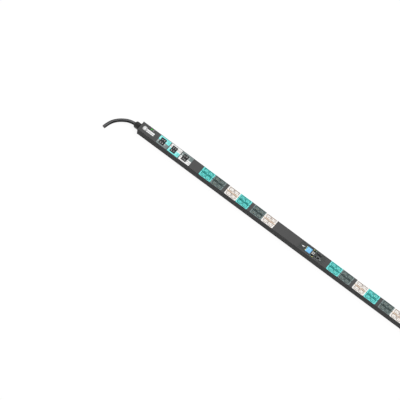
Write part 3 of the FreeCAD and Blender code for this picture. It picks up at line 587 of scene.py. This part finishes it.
def make_conductors(place):
    """The jacket's edge and four stranded conductors in the cord's cut end."""
    ends = []
    for index, colour in enumerate(("wire black", "wire red", "wire blue", "wire green")):
        angle = math.radians(45 + 90 * index)
        x, y = CONDUCTOR_OFFSET * math.cos(angle), CONDUCTOR_OFFSET * math.sin(angle)
        bm = bmesh.new()
        band(bm, circle(SLEEVE_OUTER, x, y), circle(SLEEVE_INNER, x, y),
             CUT_DEPTH, SLEEVE_REACH, place)
        ends.append(piece_from(f"conductor_sleeve_{index + 1}", bm, colour))
        bm = bmesh.new()
        for strand in range(7):
            reach = 0.0 if strand == 0 else STRAND_OFFSET
            spin = math.radians(60 * strand)
            sx, sy = x + reach * math.cos(spin), y + reach * math.sin(spin)
            prism(bm, circle(STRAND_RADIUS, sx, sy, 10), CUT_DEPTH, STRAND_REACH, place)
        ends.append(piece_from(f"conductor_strands_{index + 1}", bm, "copper"))
    bm = bmesh.new()
    band(bm, circle(CORD_RADIUS - 0.05), circle(JACKET_INNER), 0.0, 0.35, place)
    ends.append(piece_from("jacket_cut_ring", bm, "jacket", edges=0.1))
    return ends


def make_cord():
    """The lead, out of the gland and round to its cut end, with the conductors in the cut."""
    points = [Vector((CORD_FACE - x * MM, y * MM, z * MM)) for x, y, z in CORD_ROUTE]
    data = bpy.data.curves.new("supply_lead", "CURVE")
    data.dimensions = "3D"
    data.bevel_depth = CORD_RADIUS * MM
    data.bevel_resolution = 8
    data.resolution_u = 16
    data.use_fill_caps = True
    spline = data.splines.new("NURBS")
    spline.points.add(len(points) - 1)
    for spot, point in zip(spline.points, points):
        spot.co = (*point, 1.0)
    spline.order_u = 3
    spline.use_endpoint_u = True
    data.materials.append(MAT["jacket"])
    lead = bpy.data.objects.new("supply_lead", data)
    bpy.context.collection.objects.link(lead)
    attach(lead, ROOT)
    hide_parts("supply_cord")

    forward = (points[-1] - points[-2]).normalized()
    turn = forward.to_track_quat("Z", "Y").to_matrix().to_4x4()
    ends = make_conductors(Matrix.Translation(points[-1]) @ turn)


# ---- print and small details ---------------------------------------------------------------------

# How far print stands off its surface, in millimetres.
PRINT = 0.15
FINE_PRINT = PRINT * 0.6
# The height of the keys' small marks, in millimetres.
MARK_HEIGHT = 0.08


def make_front_mark():
    """A generic printed device near the cord end: a socket sign and two plain bars."""
    place = at(CORD_FACE, 0, FACE_TOP)
    bm = bmesh.new()
    x, y = 29.0, 1.0
    band(bm, rounded(21.5, 21.5, 7, x, y), rounded(15.5, 15.5, 4.5, x, y), 0, PRINT, place)
    prism(bm, rounded(12.0, 12.0, 3.2, x, y), 0, PRINT, place)
    bars_middle, bars_length = 66.5, 49
    prism(bm, rounded(bars_length, 8.6, 2.8, bars_middle, 2.6), 0, PRINT, place)
    prism(bm, rounded(bars_length, 5.8, 2.2, bars_middle, -6.8), 0, PRINT, place)
    piece_from("front_mark", bm, "print")


def make_label_marks():
    """Small plain bars beside each rocker, ruled lines for notes and an outline on each label."""
    white_side = {1: 0, 2: 1, 3: -1}
    outline_width = 51.9
    for number in BREAKERS:
        low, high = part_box(f"breaker_label_{number}")
        case_low, case_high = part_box(f"breaker_case_{number}")
        place = at(0, 0, high.z)
        pale, dark = bmesh.new(), bmesh.new()
        for side in (1, -1):
            target = dark if side == white_side[number] else pale
            y = side * 8.8
            for x in ((low.x + case_low.x) / 2, case_high.x + 5 * MM):
                prism(target, rounded(2.0, 6.5, 0.5, x / MM - 1.4, y), 0, PRINT, place)
                prism(target, rounded(1.2, 4.5, 0.4, x / MM + 1.2, y), 0, PRINT, place)
            for row in range(3):
                x = high.x / MM - 13.5 + 4.2 * row
                prism(dark, rounded(0.9, 13.5, 0.3, x, side * 13.0), 0, FINE_PRINT, place)
        middle, length = (low + high).x / 2 / MM, (high - low).x / MM
        band(dark, rounded(length - 0.1, outline_width, 0.3, middle),
             rounded(length - 2.1, outline_width - 1.6, 0.3, middle), 0, FINE_PRINT, place)
        piece_from(f"label_marks_{number}", pale, "print")
        piece_from(f"label_lines_{number}", dark, "dark")


def rocker_places(node):
    """The two top faces of a rocker, near end first, as matrices at rest."""
    valley, tip, half, tilt = 3.4, 5.6, 13.2, math.radians(-11)
    pivot = Vector(JOINTS[node]["pos_m"])
    slope = math.atan2(tip - valley, half)
    turned = Matrix.Translation(pivot) @ Matrix.Rotation(tilt, 4, "Y")
    for end in (-1, 1):
        centre = Matrix.Translation((end * half / 2 * MM, 0, (valley + tip) / 2 * MM))
        yield end, turned @ centre @ Matrix.Rotation(-end * slope, 4, "Y")


def make_rocker_marks():
    """A line for on at the near end, a ring for off at the far end, and a ribbed grip."""
    sunk = -0.05
    for number in ROCKERS:
        node = f"breaker_rocker_{number}"
        marks, ribs = bmesh.new(), bmesh.new()
        for end, place in rocker_places(node):
            if end < 0:
                prism(marks, rounded(1.3, 6.4, 0.6), sunk, PRINT, place)
            else:
                band(marks, circle(3.1), circle(1.9), sunk, PRINT, place)
            for rib in range(3):
                prism(ribs, rounded(0.7, 13.0, 0.3, end * (3.6 + 1.3 * rib)), -0.1, 0.35, place)
        piece_from(f"rocker_marks_{number}", marks, "print", node)
        piece_from(f"rocker_ribs_{number}", ribs, "rocker", node, edges=0.1)


def make_panel_marks():
    """The controller's print: two plain bars, port signs and a frame round the expansion port."""
    low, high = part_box("controller_bezel")
    place = at(0, 0, high.z)
    bm = bmesh.new()
    start = low.x / MM + 3.0
    prism(bm, rounded(18.0, 1.9, 0.7, start + 23.0, 1.5), 0, PRINT, place)
    prism(bm, rounded(12.0, 1.9, 0.7, start + 20.0, -1.5), 0, PRINT, place)
    piece_from("panel_mark", bm, "print")
    bm = bmesh.new()
    centre, _ = middle_of("expansion_port")
    x, y = centre.x / MM, centre.y / MM
    band(bm, rounded(18.0, 17.6, 1.6, x, y), rounded(15.6, 15.2, 0.8, x, y), 0, PRINT, place)
    centre, _ = middle_of("usb_port")
    for end in (-1, 1):
        x, y = centre.x / MM + end * PORT_OFFSET, centre.y / MM
        prism(bm, rounded(6.0, 1.2, 0.5, x, y + 6.4), 0, PRINT, place)
    centre, _ = middle_of("sensor_port")
    prism(bm, rounded(7.0, 1.2, 0.5, centre.x / MM, centre.y / MM - 6.6), 0, PRINT, place)
    centre, _ = middle_of("reset_button")
    x, y = centre.x / MM, centre.y / MM
    band(bm, circle(4.0, x, y), circle(3.2, x, y), 0, PRINT, place)
    piece_from("port_signs", bm, "pale")


def make_key_pads():
    """A pale pad on each key, cut back at the middle of the four, with a small dark mark."""
    half, cut, inward, pad_top, mark_inward = 2.9, 2.7, 1.1, 0.2, 0.8
    outline = [(-half, -half + cut), (-half + cut, -half), (half, -half), (half, half),
               (-half, half)]
    arrow = [(-1.1, -0.8), (1.1, -0.8), (0.0, 1.0)]
    for node, end, side in KEYS:
        centre, top = middle_of(node)
        shape = [(end * (x - inward), side * (y - inward)) for x, y in outline]
        if end * side < 0:
            shape.reverse()
        bm = bmesh.new()
        prism(bm, shape, -0.1, pad_top, at(centre.x, centre.y, top))
        piece_from(f"{node}_pad", bm, "key", node, edges=0.12)
        place = at(centre.x - mark_inward * end * MM, centre.y - mark_inward * side * MM,
                   top + pad_top * MM)
        bm = bmesh.new()
        if node == "key_up":
            prism(bm, [(y, x) for x, y in arrow], 0, MARK_HEIGHT, place)
        elif node == "key_down":
            prism(bm, [(-y, x) for x, y in arrow], 0, MARK_HEIGHT, place)
        elif node == "key_back":
            prism(bm, rounded(0.5, 2.2, 0.2), 0, MARK_HEIGHT, place)
        else:
            band(bm, circle(1.0), circle(0.55), 0, MARK_HEIGHT, place)
        piece_from(f"{node}_mark", bm, "dark", node)


def make_screen():
    """The lit screen with plain bars on it, its dark border on the window, and status lamps."""
    low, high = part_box("display_window")
    module_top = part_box("display_module")[1].z
    centre = (low + high) / 2
    width, height = ((high - low).x - 1.0 * MM) / MM, ((high - low).y - 1.0 * MM) / MM
    left = -width / 2
    place = at(centre.x, centre.y, module_top)
    face_top, figure_top = 0.4, 0.5
    bm = bmesh.new()
    prism(bm, rounded(width, height, 0.8), 0.0, face_top, place)
    piece_from("screen_face", bm, "screen")
    bm = bmesh.new()
    for row in range(3):
        y = height / 2 - 6.5 - 8.6 * row
        second = 4.0 + 3.0 * ((row + 1) % 3)
        prism(bm, rounded(8.0, 3.0, 0.8, -5.5, y), face_top, figure_top, place)
        prism(bm, rounded(second, 3.0, 0.8, 7.5, y), face_top, figure_top, place)
    piece_from("screen_figures", bm, "screen light")
    bm = bmesh.new()
    outer = rounded((high - low).x / MM - 0.1, (high - low).y / MM - 0.1, 0.3)
    inner = rounded(width - 1.0, height - 1.0, 0.8)
    top = at(centre.x, centre.y, high.z)
    border, margin, margin_top = 0.05, 4.8, 0.06
    band(bm, outer, inner, 0, border, top)
    prism(bm, rounded(margin, height - 0.6, 0.2, left + margin / 2), 0.0, margin_top, top)
    piece_from("window_mask", bm, "dark")
    for name, places, mat in (("green", (10.2, 1.2), "green led"),
                              ("yellow", (-9.6,), "yellow led")):
        bm = bmesh.new()
        for y in places:
            prism(bm, circle(1.7, left + 2.9, y, 20), margin_top, 0.3, top)
        piece_from(f"status_lamps_{name}", bm, mat, edges=0.05)


def make_contacts():
    """Gold springs in the network and single ports, and tongues in the double port."""
    pitch = 1.02
    tilt = Matrix.Rotation(math.radians(-22), 4, "X")
    for node, count, side in (("ethernet_jack_1", 8, 1), ("ethernet_jack_2", 8, -1),
                              ("sensor_port", 6, 0), ("expansion_port", 8, 0)):
        centre, top = middle_of(node)
        y = centre.y / MM - side * 1.5
        bm = bmesh.new()
        for pin in range(count):
            x = centre.x / MM + (pin - (count - 1) / 2) * pitch
            place = at(x * MM, (y + 0.6) * MM, top - 7.5 * MM) @ tilt
            prism(bm, rounded(0.45, 0.35, 0.1, steps=2), -4.0, 4.6, place)
        piece_from(f"{node}_springs", bm, "gold")
    centre, top = middle_of("usb_port")
    tongues, pads = bmesh.new(), bmesh.new()
    for end in (-1, 1):
        x, y = centre.x / MM + end * PORT_OFFSET, centre.y / MM
        place = at(x * MM, y * MM, top)
        prism(tongues, rounded(10.6, 1.8, 0.3, 0, 0.8), -10.8, -1.2, place)
        for pad in range(4):
            outline = rounded(1.1, 0.16, 0.05, (pad - 1.5) * 2.4, -0.2, steps=2)
            prism(pads, outline, -9.0, -1.6, place)
    piece_from("port_tongues", tongues, "black", edges=0.1)
    piece_from("port_pads", pads, "gold")


def make_lamp_caps():
    """Yellow caps over two of the four lamps of the network sockets."""
    low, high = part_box("jack_lamps")
    bm = bmesh.new()
    for x, y in ((low.x / MM + 1.5, high.y / MM - 1.1), (high.x / MM - 1.5, low.y / MM + 1.1)):
        prism(bm, rounded(3.06, 2.26, 0.3, x, y), 0, 0.25, at(0, 0, high.z))
    piece_from("yellow_lamp_caps", bm, "yellow led", edges=0.05)


def make_floor():
    """A wide floor of softly lit white, as in a light tent."""
    made, tree, shader = new_material("pale_floor")
    tone = shade(tree, (0.05, 0.05, 0.05, 1.0), 0.01, cloud(tree, place_of(tree), 400.0))
    tree.links.new(tone, shader.inputs["Base Color"])
    shader.inputs["Emission Color"].default_value = (1.0, 1.0, 1.0, 1.0)
    shader.inputs["Emission Strength"].default_value = 0.93
    shader.inputs["Roughness"].default_value = 0.9
    shader.inputs["Specular IOR Level"].default_value = 0.1
    reach, level = 30.0, -0.0002
    bm = bmesh.new()
    bm.faces.new([bm.verts.new((x * reach, y * reach, level))
                  for x, y in ((-1, -1), (1, -1), (1, 1), (-1, 1))])
    mesh = bpy.data.meshes.new("floor")
    bm.to_mesh(mesh)
    bm.free()
    mesh.materials.append(made)
    floor = bpy.data.objects.new("floor", mesh)
    bpy.context.collection.objects.link(floor)


make_camera()
make_cord()
make_lights()
make_floor()
for node, mat in finish_of_nodes().items():
    dress(node, mat)
soften_nodes()
make_front_mark()
make_label_marks()
make_rocker_marks()
make_panel_marks()
make_key_pads()
make_screen()
make_contacts()
make_lamp_caps()
